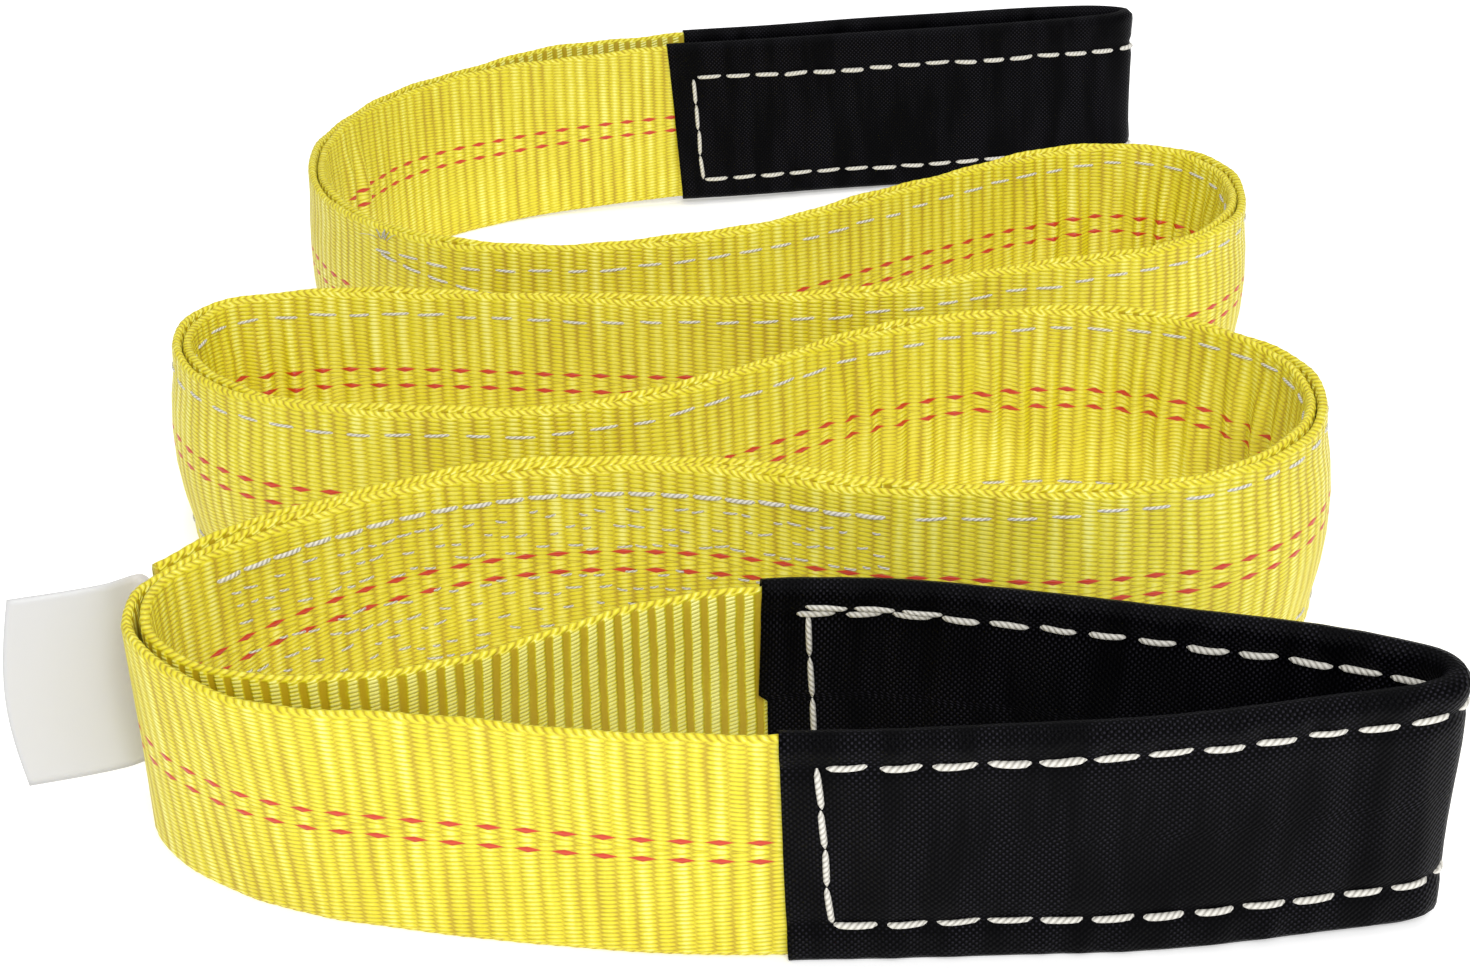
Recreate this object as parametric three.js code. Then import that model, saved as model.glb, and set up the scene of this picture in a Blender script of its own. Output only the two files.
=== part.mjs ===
// An eye-and-eye tow strap of two-ply webbing, standing on its edge in long open bends.
// Millimetres, +Z up. The strap is one strip of webbing, folded into an eye at each end.
// One cut end lies inside the splice beside the front eye, and the other, the tail end, behind it.
// Each eye's fold wears a fabric sleeve.

import * as THREE from 'three';

// Webbing.
const webbingWidth = 50;
const webbingThickness = 2.2;
const selvedgeBevel = 0.6;
const plyGap = 0.3;

// Splice: how far the strip's first end runs in between the body's two plies, and over what
// length the front ply then comes down onto the rear one.
const spliceLength = 156;
const spliceStepLength = 18;

// Wear sleeves: flat tubes of woven cloth, open at both ends.
const sleeveWall = 0.8;
const sleeveClearance = 0.5;
const sleeveBevel = 1.0;
const frontSleeveInnerLeg = 128;
const frontSleeveOuterLeg = 121;
const rearSleeveNearLeg = 150;
const rearSleeveFarLeg = 143;

// Where a leg leaves its sleeve, it comes down to the floor over this length.
const settleLength = 60;

// Tag: a blank sheet sewn in beside the strip's tail end.
const tagHeight = 41.5;
const tagThickness = 0.5;
const tagBottom = 6;
const tagRootDepth = 12;
const tagLeadOut = 2;

// Beyond the tag's root, the tail end lies down on the body again over this length.
const tailSettleLength = 30;

// Steps along a curve end at this length or this turn, whichever comes first.
const longestStep = 11;
const sharpestTurn = THREE.MathUtils.degToRad(13);

// Route of the body, between its two plies, from the tail end to where the rear eye opens.
const bodyRoute = [
  [-108.5, -146], [-95.5, -131.5], [-74, -116.5], [-50.5, -107], [-25, -104], [0.5, -107.5],
  [25, -115.5], [49.5, -122], [66.5, -123.5], [83.5, -122], [100, -117.5], [114, -108],
  [124, -94], [128, -77.5], [125, -61], [115, -47], [101.5, -37], [85, -32],
  [68, -31.5], [51, -34.5], [28, -44.5], [6.5, -59], [-16, -72.5], [-40, -79],
  [-66, -78], [-90.5, -73.5], [-106, -66], [-118, -54], [-125, -38.5], [-125, -25],
  [-120.5, -15.5], [-111, -11], [-94.5, -9.5], [-69, -11.5], [-38, -16.5], [-10, -19.5],
  [14, -19.5], [41, -15.5], [65, -7.5], [90, -0.5], [106, 5], [120.5, 14.5],
  [130.5, 28], [135, 44.5], [134, 61.5], [125, 76], [109, 82], [92.5, 79],
  [70, 67.5], [41, 48], [12.5, 29.5], [-11, 20], [-36, 16.5], [-61.5, 19.5],
  [-77, 26.5], [-90, 37.5], [-100.5, 51.5], [-107.5, 67], [-111, 83.5], [-111.5, 100.5],
  [-108, 117.5], [-101.5, 133],
];

// Route of the single ply round the front eye: outer leg, fold, inner leg.
const frontEyeRoute = [
  [-111, -153], [-111.6, -159], [-110.6, -167.5], [-106, -176.5], [-98.5, -184.8], [-89.5, -192.2],
  [-77.5, -197.5], [-64.5, -200], [-39, -204], [-13.5, -208.5], [12.5, -210.5], [51, -210.5],
  [77, -210], [102.5, -207], [121, -203.5], [125.5, -199.5], [124.5, -194.5], [117.5, -189.5],
  [106, -184], [82, -176], [58, -168.5], [33, -162], [20.5, -160.5], [7.5, -160],
  [-5, -162], [-17, -166.5], [-28, -172], [-39.5, -178], [-51, -183.5], [-63.5, -187],
  [-76, -188], [-89.5, -185], [-99.5, -178.4], [-106, -170], [-108.3, -162], [-108, -154.5],
];

// Route of the single ply round the rear eye: near leg, fold, far leg.
const rearEyeRoute = [
  [-92.2, 145.8], [-80.5, 157], [-65, 166], [-48, 171.5], [-33.5, 174], [-18.5, 175.5],
  [-4, 177], [10.5, 179], [39.5, 184], [69, 188.5], [98.5, 194], [117, 198.5],
  [128, 202.5], [130.3, 206.8], [123, 210.3], [103, 210.5], [74, 207], [45, 203.5],
  [16, 198.5], [-13, 195], [-41, 190], [-54, 184], [-66, 175.5], [-77.5, 166],
  [-88, 156],
];

// Route of the tag, from inside its seam to its free edge.
const tagReach = [[-117, -149.5], [-122.5, -151.5], [-129, -153], [-137, -154.2]];

const plyPitch = webbingThickness + plyGap;
const sleeveSpace = sleeveWall + sleeveClearance;
const tagRoom = tagThickness + plyGap;

const yellow = new THREE.MeshStandardMaterial({ color: 0xe6d72e, roughness: 0.55, metalness: 0 });
const black = new THREE.MeshStandardMaterial({ color: 0x19191b, roughness: 0.9, metalness: 0 });
const milky = new THREE.MeshStandardMaterial({ color: 0xe6e5e2, roughness: 0.35, metalness: 0 });

// A station is a point on a route with its level direction of travel.
function station(point, heading) {
  const level = new THREE.Vector3(heading.x, heading.y, 0).normalize();
  return { point, heading: level };
}

function leftOf(heading) {
  return new THREE.Vector3(-heading.y, heading.x, 0);
}

function toPoints(route) {
  return route.map(([x, y]) => new THREE.Vector3(x, y, 0));
}

// Stations on a smooth curve between two of its points, closer together where it turns.
function stationsAlong(points, first, last) {
  const curve = new THREE.CatmullRomCurve3(points, false, 'centripetal');
  const spans = points.length - 1;
  const samples = (last - first) * 40;
  const stations = [];
  let travelled = 0;
  let before = null;
  for (let i = 0; i <= samples; i += 1) {
    const t = THREE.MathUtils.lerp(first, last, i / samples) / spans;
    const here = station(curve.getPoint(t), curve.getTangent(t));
    if (before) travelled += here.point.distanceTo(before.point);
    before = here;
    const kept = stations[stations.length - 1];
    const turned = kept ? kept.heading.angleTo(here.heading) : 0;
    if (!kept || travelled >= longestStep || turned >= sharpestTurn) {
      stations.push(here);
      travelled = 0;
    } else if (i === samples) {
      stations.push(here);
    }
  }
  return stations;
}

// The distance to the left is a number, or is worked out from the length travelled.
function shiftedLeft(stations, distance) {
  const lengths = lengthsAlong(stations);
  const shifts = lengths.map((length) => (typeof distance === 'function' ? distance(length) : distance));
  return stations.map(({ point, heading }, i) => (
    station(point.clone().addScaledVector(leftOf(heading), shifts[i]), heading)
  ));
}

function reversed(stations) {
  return stations.map(({ point, heading }) => station(point, heading.clone().negate())).reverse();
}

// Length travelled up to each station.
function lengthsAlong(stations) {
  const lengths = [0];
  for (let i = 1; i < stations.length; i += 1) {
    lengths.push(lengths[i - 1] + stations[i].point.distanceTo(stations[i - 1].point));
  }
  return lengths;
}

// The stations from one length to another, with a station made at each of the two ends.
function cutBetween(stations, from, to) {
  const lengths = lengthsAlong(stations);
  const at = (length) => {
    const i = Math.max(1, lengths.findIndex((value) => value >= length));
    const share = (length - lengths[i - 1]) / (lengths[i] - lengths[i - 1]);
    return station(
      stations[i - 1].point.clone().lerp(stations[i].point, share),
      stations[i - 1].heading.clone().lerp(stations[i].heading, share),
    );
  };
  const clear = 1;
  const between = stations.filter((s, i) => lengths[i] > from + clear && lengths[i] < to - clear);
  return [at(from), ...between, at(to)];
}

// A path that visits the given stations, one for each step.
class StationPath extends THREE.Curve {
  constructor(stations) {
    super();
    this.stations = stations;
  }

  nearest(u) {
    return this.stations[Math.round(u * (this.stations.length - 1))];
  }

  getPointAt(u, target = new THREE.Vector3()) {
    return target.copy(this.nearest(u).point);
  }

  getTangentAt(u, target = new THREE.Vector3()) {
    return target.copy(this.nearest(u).heading);
  }
}

// Outline of an upright section with bevelled corners. Its x runs down and its y to the left.
function uprightSection(height, thickness, bevel) {
  const x = height / 2;
  const y = thickness / 2;
  return [
    [-x + bevel, -y], [x - bevel, -y], [x, -y + bevel], [x, y - bevel],
    [x - bevel, y], [-x + bevel, y], [-x, y - bevel], [-x, -y + bevel],
  ].map(([a, b]) => new THREE.Vector2(a, b));
}

function sweep(shape, stations) {
  return new THREE.ExtrudeGeometry(shape, {
    steps: stations.length - 1,
    extrudePath: new StationPath(stations),
  });
}

function namedMesh(name, geometry, material) {
  const mesh = new THREE.Mesh(geometry, material);
  mesh.name = name;
  return mesh;
}

// The tail end stands off the body far enough to let the tag's root in.
function tailLift(length) {
  return tagRoom * (1 - THREE.MathUtils.smoothstep(length - tagRootDepth, 0, tailSettleLength));
}

// The front ply runs over the splice's middle ply, and past its end lies on the rear ply.
function frontStandOff(length) {
  const over = 1 - THREE.MathUtils.smoothstep(length - spliceLength, 0, spliceStepLength);
  return -plyPitch * (0.5 + over);
}

// Two plies run the body's whole length, and a third lies between them along the splice.
const bodyPoints = toPoints(bodyRoute);
const wholeBody = stationsAlong(bodyPoints, 0, bodyPoints.length - 1);
const splice = cutBetween(wholeBody, 0, spliceLength);
const beyondSplice = cutBetween(wholeBody, spliceLength, lengthsAlong(wholeBody).at(-1));
const body = [...splice, ...beyondSplice.slice(1)];
const bodyLengths = lengthsAlong(body);
const frontPly = shiftedLeft(body, frontStandOff);
const rearPly = reversed(shiftedLeft(body, (length) => plyPitch / 2 + tailLift(length)));
const middlePly = reversed(shiftedLeft(splice, -plyPitch / 2));

// The eye's curve also passes through the plies that it joins, which sets its end directions.
function eyeStations(arriving, route, leaving) {
  const inward = arriving.slice(-2).map((s) => s.point);
  const outward = leaving.slice(0, 2).map((s) => s.point);
  const points = [...inward, ...toPoints(route), ...outward];
  return stationsAlong(points, 1, points.length - 2);
}

const frontEye = eyeStations(middlePly, frontEyeRoute, frontPly);
const rearEye = eyeStations(frontPly, rearEyeRoute, rearPly);

// A fold is the station with the largest x. A sleeve reaches from there along both legs.
function foldLength(stations) {
  const lengths = lengthsAlong(stations);
  const reach = stations.map((s) => s.point.x);
  return lengths[reach.indexOf(Math.max(...reach))];
}

// Inside its sleeve the webbing stands on the sleeve's lower wall.
function liftOver(stations, sleeve) {
  const lengths = lengthsAlong(stations);
  stations.forEach((s, i) => {
    const beyond = Math.max(sleeve.from - lengths[i], lengths[i] - sleeve.to);
    s.point.z = sleeveSpace * (1 - THREE.MathUtils.smoothstep(beyond, 0, settleLength));
  });
}

const frontFold = foldLength(frontEye);
const frontSleeve = { from: frontFold - frontSleeveOuterLeg, to: frontFold + frontSleeveInnerLeg };
const rearFold = foldLength(rearEye);
const rearSleeve = { from: rearFold - rearSleeveNearLeg, to: rearFold + rearSleeveFarLeg };
liftOver(frontEye, frontSleeve);
liftOver(rearEye, rearSleeve);

// Webbing: one strip from its end in the splice, round both eyes, to the tail end.
function buildWebbing() {
  const strip = [
    ...middlePly, ...frontEye.slice(1, -1), ...frontPly,
    ...rearEye.slice(1, -1), ...rearPly,
  ];
  strip.forEach((s) => { s.point.z += webbingWidth / 2; });
  const shape = new THREE.Shape(uprightSection(webbingWidth, webbingThickness, selvedgeBevel));
  return namedMesh('webbing', sweep(shape, strip), yellow);
}

// A sleeve goes round the webbing with the same clearance on every side.
function buildSleeve(name, eye, sleeve) {
  const height = webbingWidth + 2 * sleeveClearance;
  const thickness = webbingThickness + 2 * sleeveClearance;
  const outer = uprightSection(height + 2 * sleeveWall, thickness + 2 * sleeveWall, sleeveBevel);
  const inner = uprightSection(height, thickness, selvedgeBevel);
  const shape = new THREE.Shape(outer);
  shape.holes.push(new THREE.Path(inner));
  const stations = cutBetween(eye, sleeve.from, sleeve.to);
  const centre = height / 2 + sleeveWall;
  const level = stations.map((s) => station(s.point.clone().setZ(centre), s.heading));
  return namedMesh(name, sweep(shape, level), black);
}

// Tag: its root lies between the tail end and the ply behind it, and the rest curves free.
function buildTag() {
  const held = body.filter((s, i) => bodyLengths[i] <= tagRootDepth);
  const root = reversed(shiftedLeft(held, tagRoom / 2));
  const seam = root[root.length - 1];
  const clear = seam.point.clone().addScaledVector(seam.heading, tagLeadOut);
  const points = [...root.map((s) => s.point), clear, ...toPoints(tagReach)];
  points.forEach((p) => p.setZ(tagBottom + tagHeight / 2));
  const stations = stationsAlong(points, 0, points.length - 1);
  const shape = new THREE.Shape(uprightSection(tagHeight, tagThickness, tagThickness / 4));
  return namedMesh('tag', sweep(shape, stations), milky);
}

const group = new THREE.Group();
group.add(buildSleeve('wear_sleeve_front', frontEye, frontSleeve));
group.add(buildSleeve('wear_sleeve_rear', rearEye, rearSleeve));
group.add(buildWebbing());
group.add(buildTag());

// The origin is the middle of the strap's footprint, on the floor.
const footprint = new THREE.Box3().setFromObject(group);
const middle = footprint.getCenter(new THREE.Vector3()).setZ(footprint.min.z);
group.children.forEach((mesh) => mesh.position.sub(middle));

export default group;
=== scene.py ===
"""An eye-and-eye tow strap of two-ply webbing, standing on its edge in long open bends."""

import math
import random

import bmesh
import bpy
import numpy as np
from mathutils import Matrix, Vector


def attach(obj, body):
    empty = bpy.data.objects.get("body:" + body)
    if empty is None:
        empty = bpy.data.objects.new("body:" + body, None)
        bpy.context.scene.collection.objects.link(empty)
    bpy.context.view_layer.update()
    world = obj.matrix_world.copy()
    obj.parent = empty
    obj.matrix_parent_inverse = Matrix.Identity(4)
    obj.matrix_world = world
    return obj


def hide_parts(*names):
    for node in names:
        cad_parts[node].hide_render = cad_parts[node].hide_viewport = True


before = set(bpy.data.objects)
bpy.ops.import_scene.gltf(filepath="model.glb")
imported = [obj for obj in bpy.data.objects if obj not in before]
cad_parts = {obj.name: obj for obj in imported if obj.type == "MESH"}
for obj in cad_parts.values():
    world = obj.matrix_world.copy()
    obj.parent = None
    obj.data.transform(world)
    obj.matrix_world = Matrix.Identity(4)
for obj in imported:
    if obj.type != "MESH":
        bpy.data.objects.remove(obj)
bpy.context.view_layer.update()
MM = 0.001

# Camera, at the photograph's viewing angle: above the strap and in front of it, looking
# along +Y and down, with the photograph's slight roll.

CAMERA_PLACE = Vector((0.001706, -0.557119, 0.27474))
CAMERA_PITCH = math.radians(27.086)
CAMERA_ROLL = math.radians(-1.444)
camera_data = bpy.data.cameras.new("camera")
camera_data.sensor_width = 36
camera_data.lens = 59.8
camera = bpy.data.objects.new("camera", camera_data)
tilt = Matrix.Rotation(math.pi / 2 - CAMERA_PITCH, 4, "X")
roll = Matrix.Rotation(CAMERA_ROLL, 4, "Z")
camera.matrix_world = Matrix.Translation(CAMERA_PLACE) @ tilt @ roll
bpy.context.collection.objects.link(camera)
bpy.context.scene.camera = camera
bpy.context.scene.view_settings.view_transform = "Standard"

# Route of the strap, as it lies on the floor. The body is two plies, one on each side of
# one line. The strip goes from its end inside the splice round the front eye, back along
# the body, round the rear eye and along the body again to its tail end. In millimetres.

BODY_ROUTE = [
    (-108.5, -146), (-95.5, -131.5), (-74, -116.5), (-50.5, -107), (-25, -104), (0.5, -107.5),
    (25, -115.5), (49.5, -122), (66.5, -123.5), (83.5, -122), (100, -117.5), (114, -108),
    (124, -94), (128, -77.5), (125, -61), (115, -47), (101.5, -37), (85, -32),
    (68, -31.5), (51, -34.5), (28, -44.5), (6.5, -59), (-16, -72.5), (-40, -79),
    (-66, -78), (-90.5, -73.5), (-106, -66), (-118, -54), (-125, -38.5), (-125, -25),
    (-120.5, -15.5), (-111, -11), (-94.5, -9.5), (-69, -11.5), (-38, -16.5), (-10, -19.5),
    (14, -19.5), (41, -15.5), (65, -7.5), (90, -0.5), (106, 5), (120.5, 14.5),
    (130.5, 28), (135, 44.5), (134, 61.5), (125, 76), (109, 82), (92.5, 79),
    (70, 67.5), (41, 48), (12.5, 29.5), (-11, 20), (-36, 16.5), (-61.5, 19.5),
    (-77, 26.5), (-90, 37.5), (-100.5, 51.5), (-107.5, 67), (-111, 83.5), (-111.5, 100.5),
    (-108, 117.5), (-101.5, 133),
]
FRONT_EYE_ROUTE = [
    (-111, -153), (-111.6, -159), (-110.6, -167.5), (-106, -176.5), (-98.5, -184.8),
    (-89.5, -192.2), (-77.5, -197.5), (-64.5, -200), (-39, -204), (-13.5, -208.5),
    (12.5, -210.5), (51, -210.5), (77, -210), (102.5, -207), (121, -203.5),
    (125.5, -199.5), (124.5, -194.5), (117.5, -189.5), (106, -184), (82, -176),
    (58, -168.5), (33, -162), (20.5, -160.5), (7.5, -160), (-5, -162),
    (-17, -166.5), (-28, -172), (-39.5, -178), (-51, -183.5), (-63.5, -187),
    (-76, -188), (-89.5, -185), (-99.5, -178.4), (-106, -170), (-108.3, -162),
    (-108, -154.5),
]
REAR_EYE_ROUTE = [
    (-92.2, 145.8), (-80.5, 157), (-65, 166), (-48, 171.5), (-33.5, 174), (-18.5, 175.5),
    (-4, 177), (10.5, 179), (39.5, 184), (69, 188.5), (98.5, 194), (117, 198.5),
    (128, 202.5), (130.3, 206.8), (123, 210.3), (103, 210.5), (74, 207), (45, 203.5),
    (16, 198.5), (-13, 195), (-41, 190), (-54, 184), (-66, 175.5), (-77.5, 166),
    (-88, 156),
]
FOOTPRINT_MIDDLE = np.array([0.294, 0.1185])
WEBBING_WIDTH = 50.0
WEBBING_THICKNESS = 2.2
PLY_PITCH = 2.5
SPLICE_LENGTH = 156.0
SPLICE_STEP_LENGTH = 18.0
TAG_ROOM = 0.8
TAG_ROOT_DEPTH = 12.0
TAIL_SETTLE_LENGTH = 30.0


def ease(values):
    """0 below 0, 1 above 1, and a smooth rise between."""
    held = np.clip(values, 0.0, 1.0)
    return held * held * (3 - 2 * held)


def travel(points):
    """The length travelled up to each point."""
    return np.concatenate([[0.0], np.cumsum(np.linalg.norm(np.diff(points, axis=0), axis=1))])


def smooth_curve(points, first, last, step=0.5):
    """Even steps along the centripetal Catmull-Rom curve through the points."""
    knots = [np.array(p, float) for p in points]
    knots = [2 * knots[0] - knots[1], *knots, 2 * knots[-1] - knots[-2]]
    fine = []
    for i in range(first, last):
        p0, p1, p2, p3 = knots[i:i + 4]
        d0, d1, d2 = (np.linalg.norm(b - a) ** 0.5 for a, b in ((p0, p1), (p1, p2), (p2, p3)))
        out = ((p1 - p0) / d0 - (p2 - p0) / (d0 + d1) + (p2 - p1) / d1) * d1
        into = ((p2 - p1) / d1 - (p3 - p1) / (d1 + d2) + (p3 - p2) / d2) * d1
        for t in np.linspace(0, 1, 60, endpoint=i == last - 1):
            bend = (-3 * p1 + 3 * p2 - 2 * out - into) * t * t
            twist = (2 * p1 - 2 * p2 + out + into) * t ** 3
            fine.append(p1 + out * t + bend + twist)
    fine = np.array(fine)
    lengths = travel(fine)
    even = np.linspace(0, lengths[-1], int(lengths[-1] / step) + 1)
    return np.stack([np.interp(even, lengths, fine[:, k]) for k in (0, 1)], axis=1)


def headings_of(points):
    """The direction of travel at each point."""
    ahead = np.gradient(points, axis=0)
    return ahead / np.linalg.norm(ahead, axis=1)[:, None]


def left_of(headings):
    """The directions square to the headings, on their left."""
    return np.stack([-headings[:, 1], headings[:, 0]], axis=1)


body = smooth_curve(BODY_ROUTE, 0, len(BODY_ROUTE) - 1) - FOOTPRINT_MIDDLE
body_length = travel(body)
body_left = left_of(headings_of(body))
tail_stand_off = TAG_ROOM * (1 - ease((body_length - TAG_ROOT_DEPTH) / TAIL_SETTLE_LENGTH))
over_splice = 1 - ease((body_length - SPLICE_LENGTH) / SPLICE_STEP_LENGTH)
in_splice = body_length <= SPLICE_LENGTH
front_ply = body - body_left * (PLY_PITCH * (0.5 + over_splice))[:, None]
rear_ply = (body + body_left * (PLY_PITCH / 2 + tail_stand_off)[:, None])[::-1]
middle_ply = (body - body_left * PLY_PITCH / 2)[in_splice][::-1]


def eye_route(arriving, route, leaving):
    """The single ply round an eye, from the ply that arrives at it to the one that leaves."""
    guide = 20
    free = [np.array(p) - FOOTPRINT_MIDDLE for p in route]
    knots = [arriving[-guide], arriving[-1], *free, leaving[0], leaving[guide]]
    return smooth_curve(knots, 1, len(knots) - 2)


front_eye = eye_route(middle_ply, FRONT_EYE_ROUTE, front_ply)
rear_eye = eye_route(front_ply, REAR_EYE_ROUTE, rear_ply)
strip_parts = [middle_ply, front_eye[1:-1], front_ply, rear_eye[1:-1], rear_ply]
strip = np.concatenate(strip_parts)
strip_length = travel(strip)
strip_left = left_of(headings_of(strip))
FULL_LENGTH = strip_length[-1]
part_starts = strip_length[np.cumsum([0] + [len(p) for p in strip_parts[:-1]])]
FRONT_EYE_START, FRONT_PLY_START, REAR_EYE_START = part_starts[1:4]


def fold_of(eye, start):
    """Where the eye folds back, at its largest x, as a length along the strip."""
    return start + travel(eye)[np.argmax(eye[:, 0])]


FRONT_FOLD = fold_of(front_eye, FRONT_EYE_START)
REAR_FOLD = fold_of(rear_eye, REAR_EYE_START)
FRONT_SLEEVED = (FRONT_FOLD - 121.0, FRONT_FOLD + 128.0)
REAR_SLEEVED = (REAR_FOLD - 150.0, REAR_FOLD + 143.0)

# Webbing: one strip of heavy polyester, woven with bold ribs across it, and on its outer
# face with two dashed orange tracer lines. The body's plies are sewn together near both
# edges, so the inner ply puckers in the bends and the outer one bulges between the rows.

RIB_PITCH = 3.45
COLUMNS_IN_A_RIB = 4
RIB_RELIEF = 0.11
SELVEDGE_RELIEF = 0.12
RAGGED_ABOVE = 48.0
SEAM_FROM_EDGE = 6.0
PUCKER_LENGTH = 7.6
INNER_PUCKER = 2.6
STRAIGHT_BULGE = 0.4
OUTER_BULGE = 2.0
BULGING_TURN = 1 / 42.0
PUCKERING_TURN = 1 / 80.0
TURN_SMOOTHING = 25

body_turn = np.gradient(np.unwrap(np.arctan2(-body_left[:, 0], body_left[:, 1])), body_length)
body_turn = np.convolve(body_turn, np.ones(TURN_SMOOTHING) / TURN_SMOOTHING, mode="same")
turn_left = ease(body_turn / BULGING_TURN)
turn_right = ease(-body_turn / BULGING_TURN)
puckers_left = ease(body_turn / PUCKERING_TURN)
puckers_right = ease(-body_turn / PUCKERING_TURN)
past_splice = ease((body_length - SPLICE_LENGTH - 5) / 40)


def along_plies(on_front_ply, on_rear_ply):
    """Values for the whole strip from values along the body: 0 in the splice and the eyes."""
    parts = [np.zeros(len(middle_ply)), np.zeros(len(front_eye) - 2), on_front_ply]
    return np.concatenate(parts + [np.zeros(len(rear_eye) - 2), on_rear_ply[::-1]])


pucker = INNER_PUCKER * past_splice
strip_pucker = along_plies(pucker * puckers_right, pucker * puckers_left)
front_bulge = (STRAIGHT_BULGE + OUTER_BULGE * turn_left) * past_splice
rear_bulge = (STRAIGHT_BULGE + OUTER_BULGE * turn_right) * past_splice
strip_bulge = along_plies(front_bulge, rear_bulge)

# Both plies lean inwards together in the bend at the right of the back.
SWAY_PLACES = [0, 780, 850, 900, 950, 1010, 1268]
SWAYS = [0, 0, 1.5, 3.5, 2.5, 0, 0]
body_sway = np.interp(body_length, SWAY_PLACES, SWAYS)
strip_sway = along_plies(body_sway, -body_sway)

# How far the strip's lower edge stands in, towards its inner face, and its upper edge out.
# The places are lengths from the eye's start or, at the rear eye and for the lifts, from
# the fold.
OUTER_LEG_PLACES = [-10, 16, 23, 28, 36, 46, 56, 64, 79, 94, 108, 149, 162, 216, 262, 272]
OUTER_LEG_LEANS = [0, 0, 2, 3, 4.3, 5.8, 7, 7.2, 6.1, 4.7, 4, 4.2, 4.6, 4, 3.4, 2]
OUTER_LEG_PLACES += [278, 290, 330]
OUTER_LEG_LEANS += [-1, -0.5, 0]
INNER_LEG_PLACES = [430, 452, 466, 482, 492, 502, 512, 521, 530, 542, 556]
INNER_LEG_LEANS = [0, -5.2, -6.8, -8.0, -8.0, -7.0, -5.5, -4.2, -2.8, -0.8, 0]
FRONT_LEAN_PLACES = OUTER_LEG_PLACES + INNER_LEG_PLACES
FRONT_LEANS = OUTER_LEG_LEANS + INNER_LEG_LEANS
UPPER_OUT_PLACES = [100, 145, 175, 205, 245]
UPPER_OUTS = [0, 1.6, 1.8, 1.2, 0]
REAR_LEAN_PLACES = [-180, -150, -100, -50, -12, 0, 12, 40]
REAR_LEANS = [0, 2.2, 2.2, 1.5, 0.5, -2.0, 0, 0]
LIFT_PLACES = [-170, -120, -60, -25, 0, 60, 128, 180]
FRONT_LIFTS = [0, 0.6, 0.9, 1.7, 2.1, 1.2, 0.6, 0]
REAR_LIFT_PLACES = [-210, -150, -100, 0, 143, 200]
REAR_LIFTS = [0, 2.3, 1.8, 0.8, 0.6, 0]


def along_strip(values, lengths):
    """Values that are known at each point of the strip, read off at some lengths."""
    return np.interp(lengths, strip_length, values)


def lean_at(lengths, heights):
    """How far the strip stands to the left of its route at a height, as it leans."""
    share = heights / WEBBING_WIDTH
    from_eye = lengths - FRONT_EYE_START
    lower = np.interp(from_eye, FRONT_LEAN_PLACES, FRONT_LEANS)
    lower = lower + np.interp(lengths - REAR_FOLD, REAR_LEAN_PLACES, REAR_LEANS)
    lower = lower + along_strip(strip_sway, lengths)
    upper = np.interp(from_eye, UPPER_OUT_PLACES, UPPER_OUTS, left=0, right=0)
    return lower * (1 - share) - upper * share


def lift_at(lengths):
    """How far the strip's lower edge stands above the floor."""
    front = np.interp(lengths - FRONT_FOLD, LIFT_PLACES, FRONT_LIFTS, left=0, right=0)
    return front + np.interp(lengths - REAR_FOLD, REAR_LIFT_PLACES, REAR_LIFTS, left=0, right=0)


def on_strip(lengths, heights, stand_off):
    """Points on the strip, at a distance to the left of its middle plane, in metres."""
    lengths, heights, stand_off = np.broadcast_arrays(lengths, heights, stand_off)
    middle = np.stack([along_strip(strip[:, k], lengths) for k in (0, 1)], axis=-1)
    left = np.stack([along_strip(strip_left[:, k], lengths) for k in (0, 1)], axis=-1)
    left = left / np.linalg.norm(left, axis=-1, keepdims=True)
    between = (heights - SEAM_FROM_EDGE) / (WEBBING_WIDTH - 2 * SEAM_FROM_EDGE)
    pillow = np.sin(np.pi * np.clip(between, 0, 1)) ** 0.8
    wander = 1.4 * np.sin(lengths / 11.3) + 0.9 * np.sin(heights / 11 + lengths / 17)
    folds = 0.5 + 0.5 * np.sin(2 * np.pi * lengths / PUCKER_LENGTH + wander)
    folds = folds * (0.65 + 0.35 * np.sin(lengths / 5.3 + heights / 9))
    out = along_strip(strip_bulge, lengths) * pillow
    out = out + along_strip(strip_pucker, lengths) * pillow * folds
    sideways = stand_off - out + lean_at(lengths, heights)
    place = middle + left * sideways[..., None]
    up = heights + lift_at(lengths)
    return np.concatenate([place, up[..., None]], axis=-1) * MM


SAME_PLACE = 0.01 * MM


def place_grid(bm, columns, rows, put):
    """A grid whose points are put at their shares of the way along and around."""
    made = bmesh.ops.create_grid(bm, x_segments=columns, y_segments=rows, size=0.5, calc_uvs=True)
    shares = np.array([(v.co.x + 0.5, v.co.y + 0.5) for v in made["verts"]])
    for vert, point in zip(made["verts"], put(shares[:, 0], shares[:, 1])):
        vert.co = point
    return made["verts"]


def finished_piece(bm, name):
    """Closes the seams, turns the faces outwards and makes the piece."""
    bmesh.ops.remove_doubles(bm, verts=bm.verts, dist=SAME_PLACE)
    bmesh.ops.recalc_face_normals(bm, faces=bm.faces)
    for face in bm.faces:
        face.smooth = True
    mesh = bpy.data.meshes.new(name)
    bm.to_mesh(mesh)
    bm.free()
    piece = bpy.data.objects.new(name, mesh)
    bpy.context.collection.objects.link(piece)
    return piece


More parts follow.
